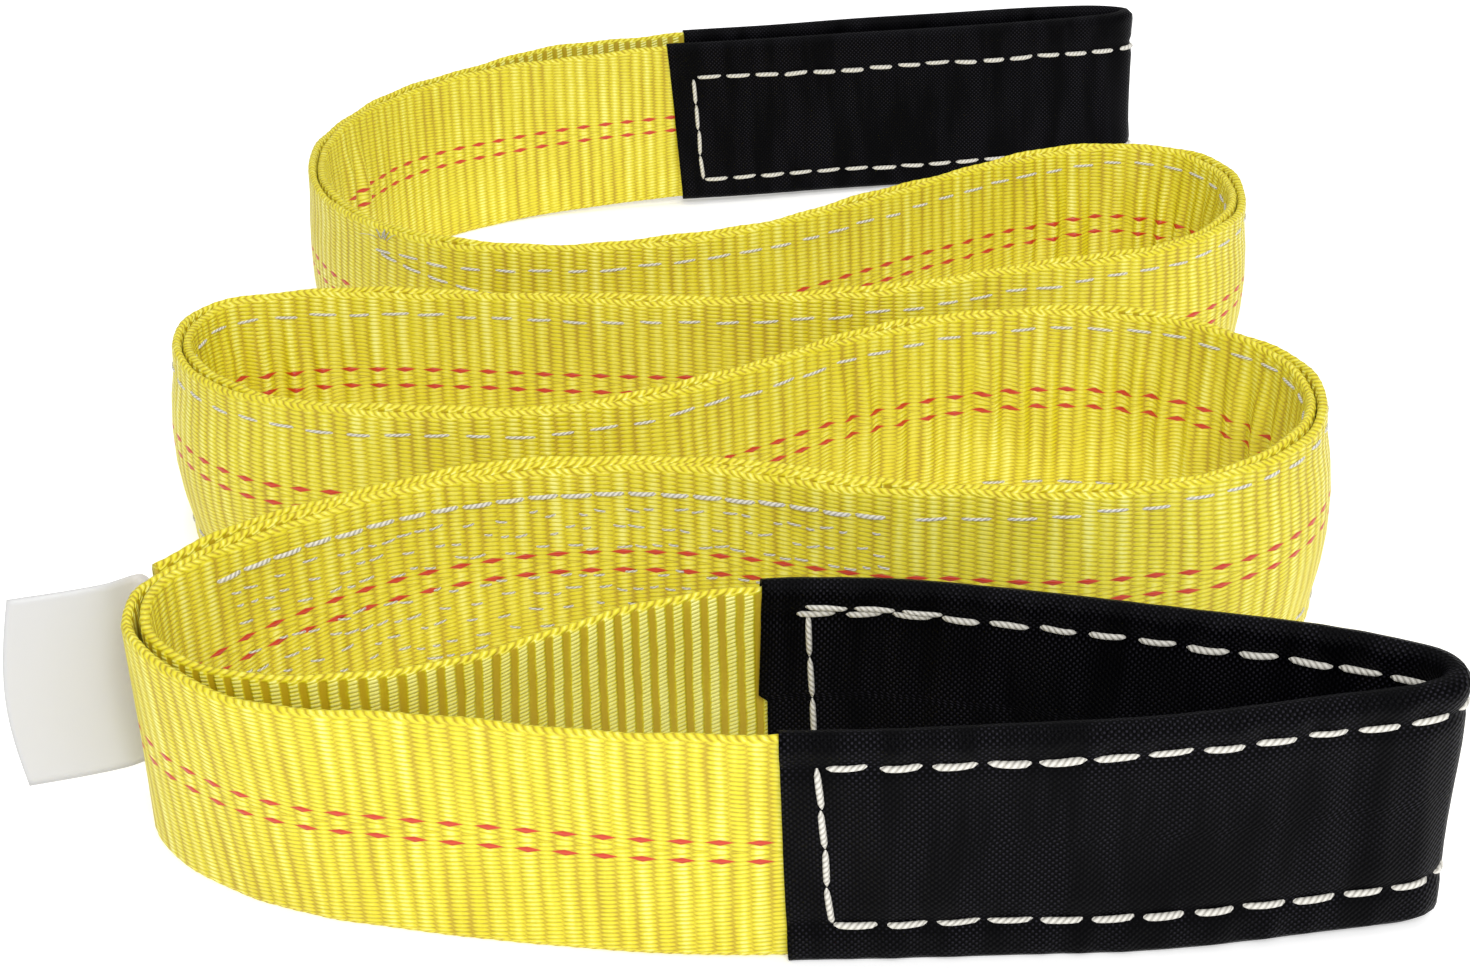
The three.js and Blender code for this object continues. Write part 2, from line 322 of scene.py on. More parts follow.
# Across the section: the height and the side of each row of the mesh, once round the strip,
# up its plain inner face and down its outer one.
FACE_HEIGHTS = [1.4, 7, 13.5, 21, 29, 36.5, 43, 48.6]
SECTION = [(0.0, 0.0), (0.35, 0.7)] + [(h, 1.0) for h in FACE_HEIGHTS] + [(49.65, 0.7)]
SECTION += [(50.0, 0.0), (49.65, -0.7)] + [(h, -1.0) for h in FACE_HEIGHTS[::-1]]
SECTION += [(0.35, -0.7), (0.0, 0.0)]
section = np.array(SECTION)
rows = len(SECTION) - 1
columns = int(FULL_LENGTH / RIB_PITCH) * COLUMNS_IN_A_RIB


def webbing_points(along, around):
    """The ribbed skin of the webbing, by shares of its length and of the way round it."""
    lengths = along * FULL_LENGTH
    row = np.rint(around * rows).astype(int)
    heights = section[row, 0]
    swell = np.sin(np.pi * lengths / RIB_PITCH) ** 2 - 0.5
    from_middle = heights - WEBBING_WIDTH / 2
    at_edge = np.abs(from_middle) > WEBBING_WIDTH / 2 - 1
    ragged = 0.35 * np.sin(lengths / 9.1) + 0.15 * np.sin(lengths / 2.9 + 1)
    edge = np.where(at_edge, SELVEDGE_RELIEF * swell * np.sign(from_middle), 0)
    edge = edge + np.where(heights > RAGGED_ABOVE, ragged, 0)
    edge = np.maximum(edge, -heights)
    relief = RIB_RELIEF * np.where(at_edge, 0.3, 1.0)
    thickness = WEBBING_THICKNESS / 2 + relief * swell
    return on_strip(lengths, heights + edge, section[row, 1] * thickness)


# The cloth map's u is the length along the strip, and its v the height above the middle of
# the tracer lines on the outer face, or a plain stretch of cloth on the inner face. The
# body shows its tracer lines higher up than the eyes do. The whole map has plain heights.
TRACER_RISE = 3.3
RISE_SMOOTHING = 201
body_rises = np.full(len(body), TRACER_RISE)
padded_rises = np.pad(along_plies(body_rises, body_rises), RISE_SMOOTHING // 2, mode="edge")
tracer_rises = np.convolve(padded_rises, np.ones(RISE_SMOOTHING) / RISE_SMOOTHING, mode="valid")
PLAIN_CLOTH = 100.0

bm = bmesh.new()
uv = bm.loops.layers.uv.new("cloth")
whole = bm.loops.layers.uv.new("whole")
place_grid(bm, columns, rows, webbing_points)
for face in bm.faces:
    arounds = [loop[uv].uv.y for loop in face.loops]
    outer_face = sum(arounds) / len(arounds) > 0.5
    for loop in face.loops:
        along, around = loop[uv].uv
        length = along * FULL_LENGTH
        height = section[min(round(around * rows), rows), 0]
        if outer_face:
            shift = -WEBBING_WIDTH / 2 - along_strip(tracer_rises, length)
        else:
            shift = WEBBING_WIDTH / 2 + PLAIN_CLOTH
        loop[uv].uv = (length * MM, (height + shift) * MM)
        loop[whole].uv = (length * MM, (height - WEBBING_WIDTH / 2) * MM)
bmesh.ops.remove_doubles(bm, verts=bm.verts, dist=SAME_PLACE)
bmesh.ops.holes_fill(bm, edges=[e for e in bm.edges if e.is_boundary], sides=0)
webbing = finished_piece(bm, "webbing_cloth")


class Wiring:
    """Adds nodes to a material or a node group and joins them."""

    def __init__(self, tree):
        self.tree = tree

    def add(self, kind, settings=None, **inputs):
        """A new node. In an input's name an underscore stands for a space."""
        made = self.tree.nodes.new(kind)
        for name, value in (settings or {}).items():
            setattr(made, name, value)
        for name, value in inputs.items():
            self.feed(made.inputs[name.replace("_", " ")], value)
        return made

    def feed(self, socket, value):
        """Gives the socket a link or a plain value."""
        if isinstance(value, bpy.types.NodeSocket):
            self.tree.links.new(value, socket)
        else:
            socket.default_value = value

    def math(self, operation, *values):
        """The result of a Math node."""
        made = self.tree.nodes.new("ShaderNodeMath")
        made.operation = operation
        for socket, value in zip(made.inputs, values):
            self.feed(socket, value)
        return made.outputs[0]

    def between(self, value, low, high, new_low=0.0, new_high=1.0):
        """A smooth step from the new low to the new high, between low and high."""
        made = self.add("ShaderNodeMapRange", Value=value)
        made.interpolation_type = "SMOOTHSTEP"
        limits = {"From Min": low, "From Max": high, "To Min": new_low, "To Max": new_high}
        for name, limit in limits.items():
            self.feed(made.inputs[name], limit)
        return made.outputs["Result"]

    def mix(self, share, first, second):
        """The two colours mixed, with a share of the second."""
        made = self.add("ShaderNodeMix", {"data_type": "RGBA"})
        self.feed(made.inputs[0], share)
        self.feed(made.inputs[6], first)
        self.feed(made.inputs[7], second)
        return made.outputs[2]

    def blend(self, share, first, second):
        """The two numbers mixed, with a share of the second."""
        made = self.add("ShaderNodeMix", {"data_type": "FLOAT"})
        self.feed(made.inputs[0], share)
        self.feed(made.inputs[2], first)
        self.feed(made.inputs[3], second)
        return made.outputs[0]

    def wave(self, value):
        """0 where the value is whole, and 1 half way between."""
        return self.math("ABSOLUTE", self.math("SINE", self.math("MULTIPLY", value, math.pi)))


def new_material(name):
    """A material with its Principled BSDF, and the wiring for the rest."""
    material = bpy.data.materials.new(name)
    material.use_nodes = True
    wiring = Wiring(material.node_tree)
    return material, wiring, material.node_tree.nodes["Principled BSDF"]


# The webbing's own yellow is the lemon. The deep amber is painted shade and the pale straw is a
# painted highlight.
LEMON = (0.73, 0.64, 0.006, 1)
AMBER_SHADE = (0.47, 0.325, 0.0008, 1)
STRAW_HIGHLIGHT = (0.87, 0.85, 0.25, 1)
TRACER_ORANGE = (0.56, 0.030, 0.0004, 1)
YARN_PITCH = 0.98 * MM
TRACER_FROM_MIDDLE = 2.15 * MM

material, wiring, shader = new_material("ribbed_webbing")
texture_place = wiring.add("ShaderNodeUVMap", {"uv_map": "cloth"}).outputs[0]
apart = wiring.add("ShaderNodeSeparateXYZ", Vector=texture_place)
drift = wiring.add("ShaderNodeTexNoise", Vector=texture_place, Scale=160.0, Detail=2.0)
wobble = wiring.math("MULTIPLY", wiring.math("SUBTRACT", drift.outputs[0], 0.5), 0.7 * MM)
along = wiring.math("ADD", apart.outputs[0], wobble)
rib = wiring.math("DIVIDE", along, RIB_PITCH * MM)
from_middle = wiring.math("ABSOLUTE", apart.outputs[1])
across_rib = wiring.math("SUBTRACT", wiring.math("FRACT", rib), 0.5)
yarn = wiring.math("DIVIDE", wiring.math("SUBTRACT", from_middle, TRACER_FROM_MIDDLE), YARN_PITCH)
yarn = wiring.math("MULTIPLY_ADD", across_rib, 0.3, yarn)


def floats(rib_shift, yarn_shift, reach, breadth):
    """Lens-shaped yarn floats, every other rib and every other yarn: 1 at the middle of each."""
    share = wiring.math("FRACT", wiring.math("MULTIPLY_ADD", rib, 0.5, rib_shift))
    from_crest = wiring.math("DIVIDE", wiring.math("SUBTRACT", share, 0.5), reach)
    share = wiring.math("FRACT", wiring.math("ADD", yarn, yarn_shift))
    from_yarn = wiring.math("DIVIDE", wiring.math("SUBTRACT", share, 0.5), breadth)
    crest_part = wiring.math("POWER", from_crest, 2.0)
    yarn_part = wiring.math("POWER", from_yarn, 2.0)
    return wiring.math("SUBTRACT", 1.0, wiring.math("ADD", crest_part, yarn_part))


# The outer face has floats over every rib; the inner one has slanted floats on the crest of
# each rib and a smooth stripe between the crests.
over_even = floats(0.25, 0.5, 0.33, 0.58)
over_odd = floats(0.75, 0.0, 0.30, 0.58)
odd_height = wiring.math("MULTIPLY", over_odd, 0.9)
outer_float = wiring.math("MAXIMUM", wiring.math("MAXIMUM", over_even, odd_height), 0.0)
FINE_YARN_PITCH = 0.86 * MM
fine_yarn = wiring.math("DIVIDE", apart.outputs[1], FINE_YARN_PITCH)
fine_yarn = wiring.math("MULTIPLY_ADD", across_rib, 0.95, fine_yarn)
fine_line = wiring.wave(fine_yarn)
on_crest = wiring.between(wiring.math("ABSOLUTE", across_rib), 0.20, 0.36, 1.0, 0.0)
crest_float = wiring.math("MULTIPLY", wiring.math("MULTIPLY_ADD", fine_line, 0.72, 0.56), on_crest)
inner_face = wiring.math("GREATER_THAN", apart.outputs[1], PLAIN_CLOTH / 2 * MM)
float_high = wiring.blend(inner_face, outer_float, crest_float)
crest = wiring.wave(rib)
whole_place = wiring.add("ShaderNodeUVMap", {"uv_map": "whole"}).outputs[0]
whole_apart = wiring.add("ShaderNodeSeparateXYZ", Vector=whole_place)
from_centre = wiring.math("ABSOLUTE", whole_apart.outputs[1])
at_selvedge = wiring.between(from_centre, 23.7 * MM, 24.5 * MM)
BRAID_PITCH = 1.75 * MM
braid_place = wiring.math("MULTIPLY_ADD", from_centre, 1.3, along)
braid_strand = wiring.wave(wiring.math("DIVIDE", braid_place, BRAID_PITCH))
braid = wiring.math("MULTIPLY_ADD", braid_strand, 0.9, 0.1)
# The mottle and the patches are the cloth's own uneven tone. The streaks that run up the strap are
# painted shade and painted highlight, standing in for the light and shade of small pleats.
mottle = wiring.add("ShaderNodeTexNoise", Vector=texture_place, Scale=1100.0, Detail=2.0)
patches = wiring.add("ShaderNodeTexNoise", Vector=texture_place, Scale=45.0, Detail=3.0)
drawn_out = wiring.add("ShaderNodeMapping", Vector=texture_place, Scale=(1.0, 0.09, 1.0))
streaks = wiring.add("ShaderNodeTexNoise", Vector=drawn_out.outputs[0], Scale=330.0, Detail=2.0)
tone_and_pleat_shade = wiring.math("SUBTRACT", wiring.math("ADD", mottle.outputs[0], patches.outputs[0]), 1.0)
pleat_shade_streaks = wiring.math("SUBTRACT", streaks.outputs[0], 0.5)
tone_and_pleat_shade = wiring.math("MULTIPLY_ADD", pleat_shade_streaks, 2.3, tone_and_pleat_shade)
# The relief is the bump's height, and it also paints light into the colour. Rib crests and floats
# get a pale painted highlight, and the valleys between them get a dark painted shade.
cloth_relief = wiring.math("MULTIPLY_ADD", crest, 0.22, float_high)
relief = wiring.blend(at_selvedge, cloth_relief, braid)
shade = wiring.math("MULTIPLY_ADD", tone_and_pleat_shade, 0.42, relief)
# Painted light: a low shade gives the deep amber, which is painted shade in the valleys and the
# pleat streaks. A high shade gives the pale straw, which is a painted highlight on crests and
# floats. The cloth's random mottle rides along in the shade.
cloth_colour_and_shade = wiring.mix(wiring.between(shade, 0.0, 0.85), AMBER_SHADE, LEMON)
cloth_colour_and_shade = wiring.mix(wiring.between(shade, 0.85, 1.45, 0.0, 0.9), cloth_colour_and_shade, STRAW_HIGHLIGHT)
from_line = wiring.math("ABSOLUTE", wiring.math("SUBTRACT", from_middle, TRACER_FROM_MIDDLE))
dash_share = wiring.math("FRACT", wiring.math("MULTIPLY_ADD", rib, 0.5, 0.25))
DASH_REACH = 0.41
DASH_BREADTH = 0.74 * MM
from_dash = wiring.math("ABSOLUTE", wiring.math("SUBTRACT", dash_share, 0.5))
from_dash = wiring.math("DIVIDE", from_dash, DASH_REACH)
diamond = wiring.math("ADD", wiring.math("DIVIDE", from_line, DASH_BREADTH), from_dash)
dashes = wiring.between(diamond, 0.82, 1.0, 1.0, 0.0)
base = wiring.mix(dashes, cloth_colour_and_shade, TRACER_ORANGE)
wiring.feed(shader.inputs["Base Color"], base)
wiring.feed(shader.inputs["Roughness"], wiring.between(shade, 0.1, 1.4, 0.60, 0.34))
shader.inputs["Specular IOR Level"].default_value = 0.6
bump = wiring.add("ShaderNodeBump", Height=relief, Strength=0.7, Distance=0.0004)
wiring.feed(shader.inputs["Normal"], bump.outputs[0])
webbing.data.materials.append(material)

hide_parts("webbing")
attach(webbing, "root")

# Stitching of the body: off-white thread through both plies, in a row near each edge. Each
# stitch lies on an outer face and dives into the cloth at its two ends. The rows run from
# the splice to where the plies part for the rear eye.

EDGE_STITCH_PITCH = 9.0
EDGE_THREAD = 0.72
EDGE_SINK = 0.65
STITCH_STEPS = 6
THREAD_SIDES = 6


def stitch_points(along, around, length, thread, sink):
    """One stitch's points, as distances along its row, across it and out of the cloth."""
    arch = np.sin(np.pi * np.clip(along, 0, 1)) ** 0.45
    radius = thread / 2 * np.where((along < 0.01) | (along > 0.99), 0.25, 0.7 + 0.3 * arch)
    turn = 2 * np.pi * around
    out = thread * (0.36 * arch - sink * (1 - arch)) + radius * np.sin(turn)
    return (along - 0.5) * length, radius * np.cos(turn), out


class ThreadWork:
    """A set of stitches gathered in one mesh. Each is laid by a function of the surface."""

    def __init__(self, seed):
        self.bm = bmesh.new()
        self.uv = self.bm.loops.layers.uv.new("thread")
        self.random = random.Random(seed)

    def stitch(self, surface, length, thread, sink=0.5, slope=0.0):
        """One stitch of thread, which runs across its row by the slope."""
        def put(along, around):
            ahead, across, out = stitch_points(along, around, length, thread, sink)
            return surface(ahead, across + slope * ahead, out)

        made = place_grid(self.bm, STITCH_STEPS, THREAD_SIDES, put)
        for face in {face for vert in made for face in vert.link_faces}:
            for loop in face.loops:
                along, around = loop[self.uv].uv
                loop[self.uv].uv = (along * length * MM, around)


def along_row(at, height, side):
    """The webbing's face round one stitch that runs along the strip."""
    def surface(ahead, across, out):
        face = WEBBING_THICKNESS / 2 + out
        return on_strip(at + ahead, height + across, side * face)
    return surface


OUTER = -1
seams = ThreadWork(seed=4)
BODY_SEAM_END = 1157.0
UPPER_SEAM_PLACES = [150, 220, 330, 420, 780, 860, 940, 1010]
UPPER_SEAM_RISES = [0, 2.4, 2.4, 0.5, 0.5, 1.4, 1.4, 0]
plain_seams = [(FRONT_PLY_START + SPLICE_LENGTH + 6, FRONT_PLY_START + BODY_SEAM_END)]
plain_seams += [(FULL_LENGTH - BODY_SEAM_END, FULL_LENGTH - SPLICE_LENGTH - 6)]


def body_place(at):
    """The length along the body of a place on either ply."""
    return at - FRONT_PLY_START if at < REAR_EYE_START else FULL_LENGTH - at


for start, end in plain_seams:
    for height in (SEAM_FROM_EDGE, WEBBING_WIDTH - SEAM_FROM_EDGE):
        at = start
        while at < end:
            length = seams.random.uniform(6.2, 8.6)
            rise = 0
            if height > WEBBING_WIDTH / 2:
                rise = np.interp(body_place(at), UPPER_SEAM_PLACES, UPPER_SEAM_RISES)
            place = height + rise + seams.random.uniform(-0.4, 0.4)
            slope = seams.random.uniform(-0.07, 0.07)
            seams.stitch(along_row(at, place, OUTER), length, EDGE_THREAD, EDGE_SINK, slope)
            at += EDGE_STITCH_PITCH * seams.random.uniform(0.96, 1.04)

# Stitching of the splice: a close, heavier row near each edge, and fine rows between them
# that show as small flecks where the thread sinks in between the ribs.

HEAVY_ROWS = (SEAM_FROM_EDGE, WEBBING_WIDTH - SEAM_FROM_EDGE)
HEAVY_THREAD = 1.05
FLECK_ROWS = (9.5, 13.5, 17.5, 21.5, 25.5, 32.0, 36.0, 40.0)
FLECK_THREAD = 0.52
FLECK_SINK = 0.8
splice_ends = [(FRONT_PLY_START + 12, FRONT_PLY_START + SPLICE_LENGTH - 3)]
splice_ends += [(FULL_LENGTH - SPLICE_LENGTH + 3, FULL_LENGTH - 5)]
for start, end in splice_ends:
    for height in HEAVY_ROWS:
        at = start
        while at < end:
            length = seams.random.uniform(6.6, 7.8)
            place = height + seams.random.uniform(-0.2, 0.2)
            seams.stitch(along_row(at, place, OUTER), length, HEAVY_THREAD)
            at += 2 * RIB_PITCH
    for height in FLECK_ROWS:
        at = start + seams.random.uniform(0, 4)
        while at < end:
            length = seams.random.uniform(2.0, 4.4)
            place = height + seams.random.uniform(-0.8, 0.8)
            slope = seams.random.uniform(-0.25, 0.25)
            seams.stitch(along_row(at, place, OUTER), length, FLECK_THREAD, FLECK_SINK, slope)
            at += RIB_PITCH * seams.random.choice((1, 1, 2, 2))

# End of the body's stitching: the last row crosses the webbing on a slant, through both
# plies, and ends at the upper edge in a tuft of loose thread ends.

CROSS_LENGTH = 62.0
CROSS_DROP = 10.0
CROSS_TOP = 43.0
CROSS_STITCH = 7.0
CROSS_STITCH_PITCH = 8.0
for back in np.arange(2.0, CROSS_LENGTH, CROSS_STITCH_PITCH):
    place = CROSS_TOP - CROSS_DROP * back / CROSS_LENGTH
    slope = CROSS_DROP / CROSS_LENGTH
    on_front = FRONT_PLY_START + BODY_SEAM_END - back
    on_rear = FULL_LENGTH - BODY_SEAM_END + back
    for at, rise in ((on_front, slope), (on_rear, -slope)):
        surface = along_row(at, place, OUTER)
        seams.stitch(surface, CROSS_STITCH, EDGE_THREAD, EDGE_SINK, rise)

TUFT_PLACE = FULL_LENGTH - BODY_SEAM_END
LOOSE_ENDS = 7
LOOSE_THREAD = 0.4
for k in range(LOOSE_ENDS):
    root = on_strip(TUFT_PLACE + seams.random.uniform(-2, 2), 47.0, -1.2)
    lean = seams.random.uniform(-0.8, 0.8)
    out = seams.random.uniform(0.1, 0.9)
    length = seams.random.uniform(3.5, 6.0)
    sag = seams.random.uniform(0.5, 1.4)

    def loose_end(ahead, across, up, root=root, lean=lean, out=out, length=length, sag=sag):
        share = ahead / length + 0.5
        x = root[0] + (lean * share * length + across) * MM
        y = root[1] - (out * share * length + up) * MM
        z = root[2] + (share * length * (1 - 0.5 * sag * share)) * MM
        return np.stack([x, y, z], axis=-1)

    seams.stitch(loose_end, length, LOOSE_THREAD, 0.0)
body_thread = finished_piece(seams.bm, "body_stitching")

# The off-white is the thread's own colour. The grooves between the twisted strands are darkened as
# painted shade.
THREAD_LIGHT = (0.74, 0.72, 0.66, 1)
THREAD_GROOVE_SHADE = (0.42, 0.40, 0.35, 1)
material, wiring, shader = new_material("off_white_thread")
texture_place = wiring.add("ShaderNodeTexCoord").outputs["UV"]
apart = wiring.add("ShaderNodeSeparateXYZ", Vector=texture_place)
THREAD_TWIST = 1.25 * MM
twist = wiring.math("DIVIDE", apart.outputs[0], THREAD_TWIST)
lay = wiring.math("MULTIPLY_ADD", apart.outputs[1], 2.0, twist)
strand = wiring.wave(lay)
wiring.feed(shader.inputs["Base Color"], wiring.mix(strand, THREAD_GROOVE_SHADE, THREAD_LIGHT))
shader.inputs["Roughness"].default_value = 0.7
bump = wiring.add("ShaderNodeBump", Height=strand, Strength=0.8, Distance=0.0003)
wiring.feed(shader.inputs["Normal"], bump.outputs[0])
thread_material = material
body_thread.data.materials.append(thread_material)
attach(body_thread, "root")

# Wear sleeves: flat tubes of black woven nylon drawn over the eye folds before sewing.
# The cloth is loose round the webbing and wrinkles a little, and each row of stitches
# draws it in.

SLEEVE_HEIGHT = 51.8
SLEEVE_THICKNESS = 4.6
SLEEVE_CLOTH = 0.55
SLEEVE_COLUMN = 1.3
SLEEVE_FACE = [1.6, 3.5, 5.3, 6.9, 8.2, 9.4, 11.5, 15, 20, 24, 27, 28.2, 32, 37, 39.5, 41.2]
SLEEVE_FACE += [43.2, 45, 46.8, 48.6, 50.2]
SLEEVE_SECTION = [(0.0, 0.0), (0.45, 0.62)] + [(h, 1.0) for h in SLEEVE_FACE] + [(51.35, 0.62)]
SLEEVE_SECTION += [(51.8, 0.0), (51.35, -0.62)] + [(h, -1.0) for h in SLEEVE_FACE[::-1]]
SLEEVE_SECTION += [(0.45, -0.62), (0.0, 0.0)]
sleeve_section = np.array(SLEEVE_SECTION)
sleeve_travel = travel(sleeve_section * np.array([1, SLEEVE_THICKNESS / 2]))


def sleeve_swell(lengths, heights, seed, rows):
    """How far the loose cloth stands out from the flat tube, in millimetres."""
    from_edge = np.minimum(heights, SLEEVE_HEIGHT - heights)
    drawn_in = sum(-0.8 * np.exp(-((heights - row) / 1.2) ** 2) for row in rows)
    band = np.exp(-((from_edge - 3.4) / 3.0) ** 2)
    gathers = np.sin(lengths / 1.45 + 1.3 * np.sin(lengths / 7 + seed))
    gathers = gathers * np.sin(lengths / 9.7 + seed)
    middle = np.clip((from_edge - 6) / 10, 0, 1)
    upright = np.sin(lengths / 1.9 + heights / 16 + 2 * np.sin(lengths / 13 + seed))
    upright = upright * np.sin(lengths / 8.3 + heights / 31 + seed)
    broad = np.sin(lengths / 6.1 + heights / 14 + seed)
    broad = broad * np.sin(lengths / 17 - heights / 23 + seed)
    return drawn_in + band * (0.15 + 0.50 * gathers) + middle * (0.65 * broad + 0.42 * upright)


def on_sleeve(lengths, heights, side, kind, out=0.0):
    """Points on a sleeve, given by the length along the strip inside it."""
    lengths, heights, side = np.broadcast_arrays(lengths, heights, side)
    seed, rows = kind
    swell = sleeve_swell(lengths, heights, seed + 2 * np.sign(side), rows)
    thickness = SLEEVE_THICKNESS / 2 + swell * np.abs(side) + out
    points = on_strip(lengths, heights, side * thickness)
    inside = SLEEVE_HEIGHT - WEBBING_WIDTH
    points[..., 2] = points[..., 2] - inside / 2 * MM
    points[..., 2] = np.maximum(points[..., 2], 0.0)
    return points


def build_sleeve(name, sleeved, kind, first_cuts, last_cuts):
    """The cuts give how far the cloth runs on at each end, at the cut heights."""
    start, end = sleeved
    length = end - start
    sleeve_columns = int(length / SLEEVE_COLUMN)
    sleeve_rows = len(SLEEVE_SECTION) - 1

    def sleeve_points(along, around):
        row = np.rint(around * sleeve_rows).astype(int)
        heights = sleeve_section[row, 0]
        first = start + np.interp(heights, CUT_HEIGHTS, first_cuts)
        last = end + np.interp(heights, CUT_HEIGHTS, last_cuts)
        lengths = first + along * (last - first)
        return on_sleeve(lengths, heights, sleeve_section[row, 1], kind)

    bm = bmesh.new()
    uv = bm.loops.layers.uv.new("cloth")
    place_grid(bm, sleeve_columns, sleeve_rows, sleeve_points)
    for face in bm.faces:
        for loop in face.loops:
            along, around = loop[uv].uv
            row = min(round(around * sleeve_rows), sleeve_rows)
            loop[uv].uv = (along * length * MM, sleeve_travel[row] * MM)
    sleeve = finished_piece(bm, name)
    wall = sleeve.modifiers.new("wall", "SOLIDIFY")
    wall.thickness = SLEEVE_CLOTH * MM
    wall.offset = -1
    return sleeve


# A sleeve's kind is the seed of its wrinkles and the heights of its two rows of stitches.
FRONT_KIND = (0.7, (9.2, 45.4))
REAR_KIND = (2.9, (6.9, 40.6))
# The cut ends run a little askew, and the front sleeve's inner one has a step in it.
CUT_HEIGHTS = [0, 27, 28.2, 51.8]
front_cuts = ([0.6, 0, 0, -0.4], [-1.0, -0.8, 0.9, -0.3])
rear_cuts = ([1.8, 0, 0, -1.8], [0, 0, 0, 0])
front_sleeve = build_sleeve("front_sleeve_cloth", FRONT_SLEEVED, FRONT_KIND, *front_cuts)
rear_sleeve = build_sleeve("rear_sleeve_cloth", REAR_SLEEVED, REAR_KIND, *rear_cuts)

material, wiring, shader = new_material("black_nylon")
texture_place = wiring.add("ShaderNodeTexCoord").outputs["UV"]
apart = wiring.add("ShaderNodeSeparateXYZ", Vector=texture_place)
WEAVE_PITCH = 0.62 * MM
warp = wiring.math("MULTIPLY", wiring.math("DIVIDE", apart.outputs[0], WEAVE_PITCH), math.pi)
weft = wiring.math("MULTIPLY", wiring.math("DIVIDE", apart.outputs[1], WEAVE_PITCH), math.pi)
over = wiring.math("MULTIPLY", wiring.math("SINE", warp), wiring.math("SINE", weft))
weave = wiring.math("MULTIPLY_ADD", over, 0.5, 0.5)
drawn_out = wiring.add("ShaderNodeMapping", Vector=texture_place, Scale=(1.0, 0.18, 1.0))
streaks = wiring.add("ShaderNodeTexNoise", Vector=drawn_out.outputs[0], Scale=150.0, Detail=2.0)
# Painted highlights: the weave's glints, made brighter where streaks of sheen run up the sleeve,
# are painted into the black base colour.
glint = wiring.between(weave, 0.58, 0.98)
sheen = wiring.between(streaks.outputs[0], 0.34, 0.66, 0.15, 1.2)
glint = wiring.math("MULTIPLY", glint, sheen)
BLACK_LOW = (0.0002, 0.0002, 0.0005, 1)
BLACK_HIGH = (0.0170, 0.0160, 0.0220, 1)
wiring.feed(shader.inputs["Base Color"], wiring.mix(glint, BLACK_LOW, BLACK_HIGH))
shader.inputs["Roughness"].default_value = 0.42
shader.inputs["Specular IOR Level"].default_value = 0.035
bump = wiring.add("ShaderNodeBump", Height=weave, Strength=0.8, Distance=0.0002)
wiring.feed(shader.inputs["Normal"], bump.outputs[0])
sleeves = [(front_sleeve, "wear_sleeve_front", FRONT_SLEEVED)]
sleeves += [(rear_sleeve, "wear_sleeve_rear", REAR_SLEEVED)]
for sleeve, node, (start, end) in sleeves:
    sleeve.data.materials.append(material)
    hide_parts(node)
    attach(sleeve, "root")

# Stitching of the sleeves: thick off-white thread in a long box, through the sleeve and
# the webbing, with one row along each edge and one across each end.

SLEEVE_STITCH_PITCH = 9.1
SLEEVE_STITCH = 8.7
SLEEVE_THREAD = 1.35
SLEEVE_SINK = 0.35
ROW_FROM_END = 8.0
HIGH_ROW_LEAD = 1.6
END_ROW_STITCHES = 4
END_ROW_THREAD = 0.9 * SLEEVE_THREAD
END_ROW_SINK = 0.2


def along_sleeve(at, height, side, kind):
    """The sleeve's face round one stitch that runs along it."""
    def surface(ahead, across, out):
        return on_sleeve(at + ahead, height + across, side, kind, out)
    return surface


def across_sleeve(at, height, side, kind):
    """The sleeve's face round one stitch that runs up it."""
    def surface(ahead, across, out):
        return on_sleeve(at + across, height + ahead, side, kind, out)
    return surface


sleeve_thread = ThreadWork(seed=9)
for (start, end), kind in ((FRONT_SLEEVED, FRONT_KIND), (REAR_SLEEVED, REAR_KIND)):
    low_row, high_row = kind[1]
    for side in (1, -1):
        for height in (low_row, high_row):
            at = start + ROW_FROM_END + SLEEVE_STITCH_PITCH / 2
            if height == high_row:
                at -= HIGH_ROW_LEAD
            drift = 0.0
            while at < end - ROW_FROM_END - 2:
                drift = 0.7 * drift + sleeve_thread.random.uniform(-0.35, 0.35)
                slope = sleeve_thread.random.uniform(-0.06, 0.06)
                length = SLEEVE_STITCH * sleeve_thread.random.uniform(0.92, 1.03)
                surface = along_sleeve(at, height + drift, side, kind)
                sleeve_thread.stitch(surface, length, SLEEVE_THREAD, SLEEVE_SINK, slope)
                at += SLEEVE_STITCH_PITCH
        first, last = start + ROW_FROM_END, end - ROW_FROM_END
        for low_at, high_at in ((first + 0.2, first - 2.0), (last - 2.4, last - 1.0)):
            pitch = (high_row - low_row) / END_ROW_STITCHES
            for k in range(END_ROW_STITCHES):
                share = (k + 0.5) / END_ROW_STITCHES
                height = low_row + share * (high_row - low_row)
                at = low_at + share * (high_at - low_at)
                slope = (high_at - low_at) / (high_row - low_row)
                slope = slope + sleeve_thread.random.uniform(-0.08, 0.08)
                surface = across_sleeve(at, height, side, kind)
                length = pitch * 1.02
                sleeve_thread.stitch(surface, length, END_ROW_THREAD, END_ROW_SINK, slope)

# The upper row on the front eye's inner leg begins with three stitches sewn twice.
for k in range(3):
    at = FRONT_SLEEVED[1] - ROW_FROM_END - SLEEVE_STITCH_PITCH * (k + 0.5)
    surface = along_sleeve(at, FRONT_KIND[1][1] + 1.5 - 0.3 * k, 1, FRONT_KIND)
    sleeve_thread.stitch(surface, SLEEVE_STITCH, SLEEVE_THREAD, SLEEVE_SINK, 0.05)
sleeve_stitching = finished_piece(sleeve_thread.bm, "sleeve_stitching")
sleeve_stitching.data.materials.append(thread_material)
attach(sleeve_stitching, "root")

# Tag: a plain sheet of milky vinyl. Its root is sewn in under the tail end, and the rest
# stands out to the side in a slight curve, with a rounded free edge.

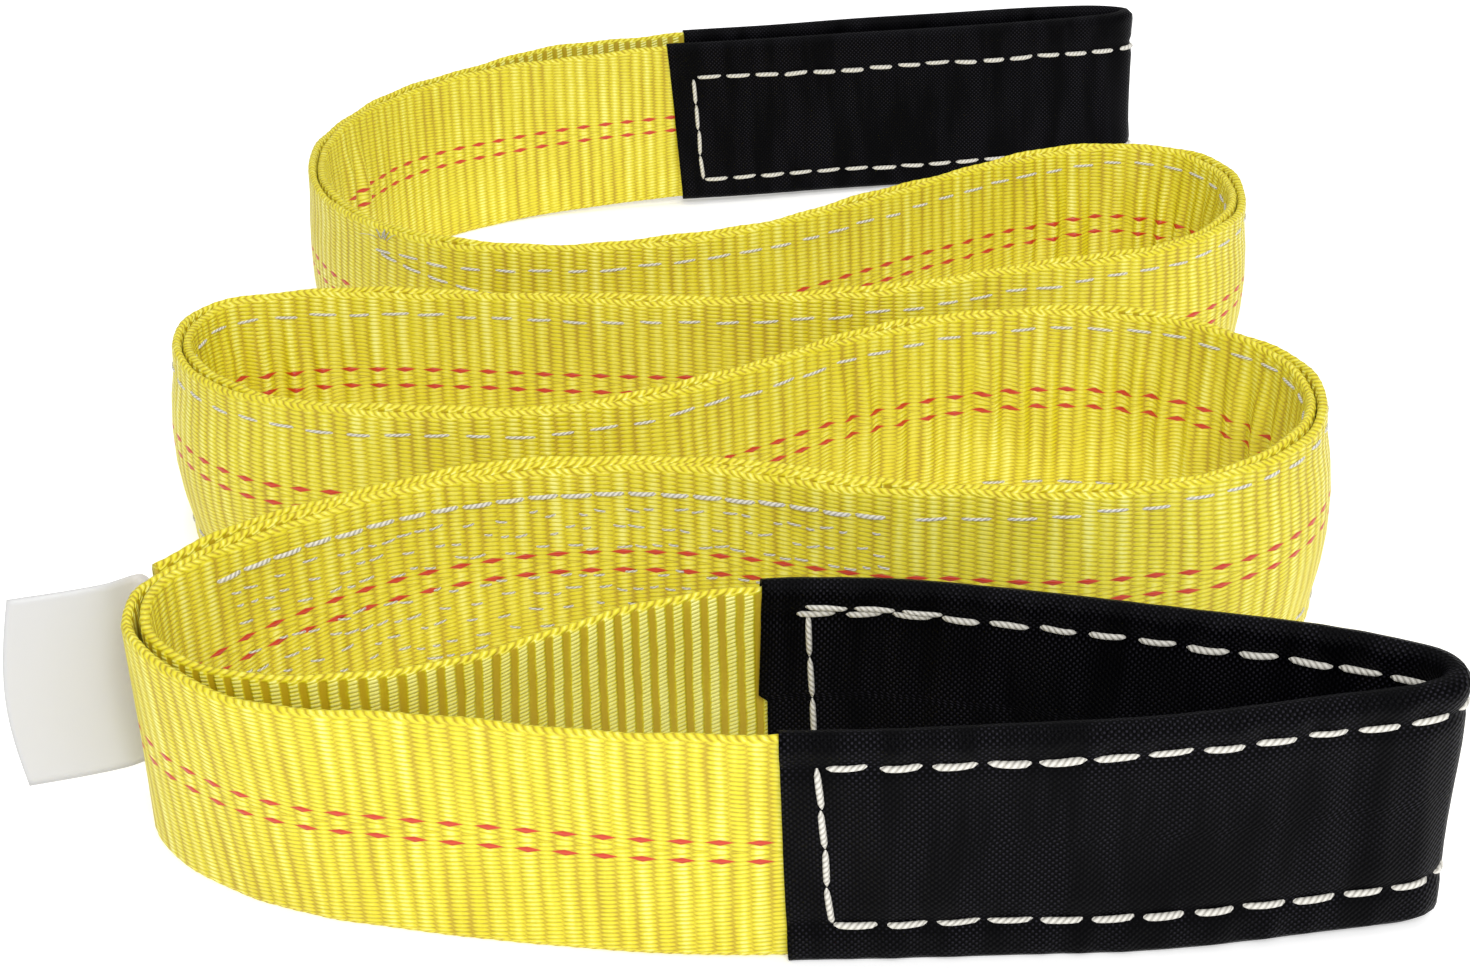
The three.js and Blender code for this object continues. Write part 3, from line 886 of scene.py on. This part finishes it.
TAG_SHEET = 0.35
TAG_REACH = [(-113, -144.5), (-119, -148.3), (-127, -151.4), (-136.4, -154.2)]
TAG_BOTTOM = 6.0
TAG_HEIGHT = 41.5
TAG_LEAD_OUT = 2.0
TAG_COLUMNS = 40
TAG_ROWS = 24
held = body_length <= TAG_ROOT_DEPTH
root = (body + body_left * TAG_ROOM / 2)[held][::-1]
clear = root[-1] + headings_of(root)[-1] * TAG_LEAD_OUT
reach = [np.array(p) - FOOTPRINT_MIDDLE for p in TAG_REACH]
tag_route = smooth_curve([root[0], root[-1], clear, *reach], 0, len(reach) + 2)
tag_travel = travel(tag_route)
tag_left = left_of(headings_of(tag_route))


def tag_points(along, up):
    """The middle of the tag's sheet, by shares of its length and its height."""
    lengths = along * tag_travel[-1]
    place = np.stack([np.interp(lengths, tag_travel, tag_route[:, k]) for k in (0, 1)], axis=-1)
    side = np.stack([np.interp(lengths, tag_travel, tag_left[:, k]) for k in (0, 1)], axis=-1)
    free = ease((along - 0.35) / 0.65)
    bow = 1.2 * free * np.sin(np.pi * up) - 0.8 * free * up
    place = place + side * bow[:, None]
    rounding = 2.0 * (1 - up) + 2.6 * np.sin(np.pi * up)
    place[:, 0] = place[:, 0] - ease(along) * rounding
    heights = TAG_BOTTOM + TAG_HEIGHT * up
    return np.concatenate([place, heights[:, None]], axis=-1) * MM


bm = bmesh.new()
uv = bm.loops.layers.uv.new("tag")
place_grid(bm, TAG_COLUMNS, TAG_ROWS, tag_points)
tag = finished_piece(bm, "tag_sheet")
wall = tag.modifiers.new("wall", "SOLIDIFY")
wall.thickness = TAG_SHEET * MM
wall.offset = 0

material, wiring, shader = new_material("milky_vinyl")
texture_place = wiring.add("ShaderNodeTexCoord").outputs["UV"]
apart = wiring.add("ShaderNodeSeparateXYZ", Vector=texture_place)
cloud = wiring.add("ShaderNodeTexNoise", Vector=texture_place, Scale=3.0, Detail=3.0)
near_root = wiring.between(apart.outputs[0], 0.25, 0.6, 1.0, 0.0)
warmth = wiring.math("MULTIPLY", near_root, cloud.outputs[0])
MILK = (0.60, 0.60, 0.61, 1)
WARM_MILK = (0.66, 0.58, 0.46, 1)
wiring.feed(shader.inputs["Base Color"], wiring.mix(warmth, MILK, WARM_MILK))
shader.inputs["Roughness"].default_value = 0.35
shader.inputs["Alpha"].default_value = 0.85
shader.inputs["Specular IOR Level"].default_value = 0.4
tag.data.materials.append(material)
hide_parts("tag")
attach(tag, "root")

# Floor and light: a wide white floor under soft, even light from all round, with one
# softbox in front and one above.

FLOOR_SIZE = 40
bpy.ops.mesh.primitive_plane_add(size=FLOOR_SIZE)
floor = bpy.context.object
floor.name = "floor"
material, wiring, shader = new_material("white_floor")
shader.inputs["Base Color"].default_value = (0.93, 0.93, 0.93, 1)
shader.inputs["Roughness"].default_value = 0.9
shader.inputs["Emission Color"].default_value = (1, 1, 1, 1)
shader.inputs["Emission Strength"].default_value = 0.34
floor.data.materials.append(material)

world = bpy.data.worlds.new("studio")
world.use_nodes = True
world.node_tree.nodes["Background"].inputs["Color"].default_value = (1, 1, 1, 1)
world.node_tree.nodes["Background"].inputs["Strength"].default_value = 0.59
bpy.context.scene.world = world


def softbox(name, place, aim, size, power):
    """A round area light that faces the point aimed at."""
    data = bpy.data.lights.new(name, "AREA")
    data.shape = "DISK"
    data.size = size
    data.energy = power
    light = bpy.data.objects.new(name, data)
    light.location = place
    light.rotation_euler = (Vector(aim) - Vector(place)).to_track_quat("-Z", "Y").to_euler()
    bpy.context.collection.objects.link(light)


softbox("front_light", (0.15, -1.4, 1.1), (0, 0, 0.02), 0.9, 18)
softbox("top_light", (0.3, 0.2, 1.6), (0, 0, 0.02), 1.0, 9)
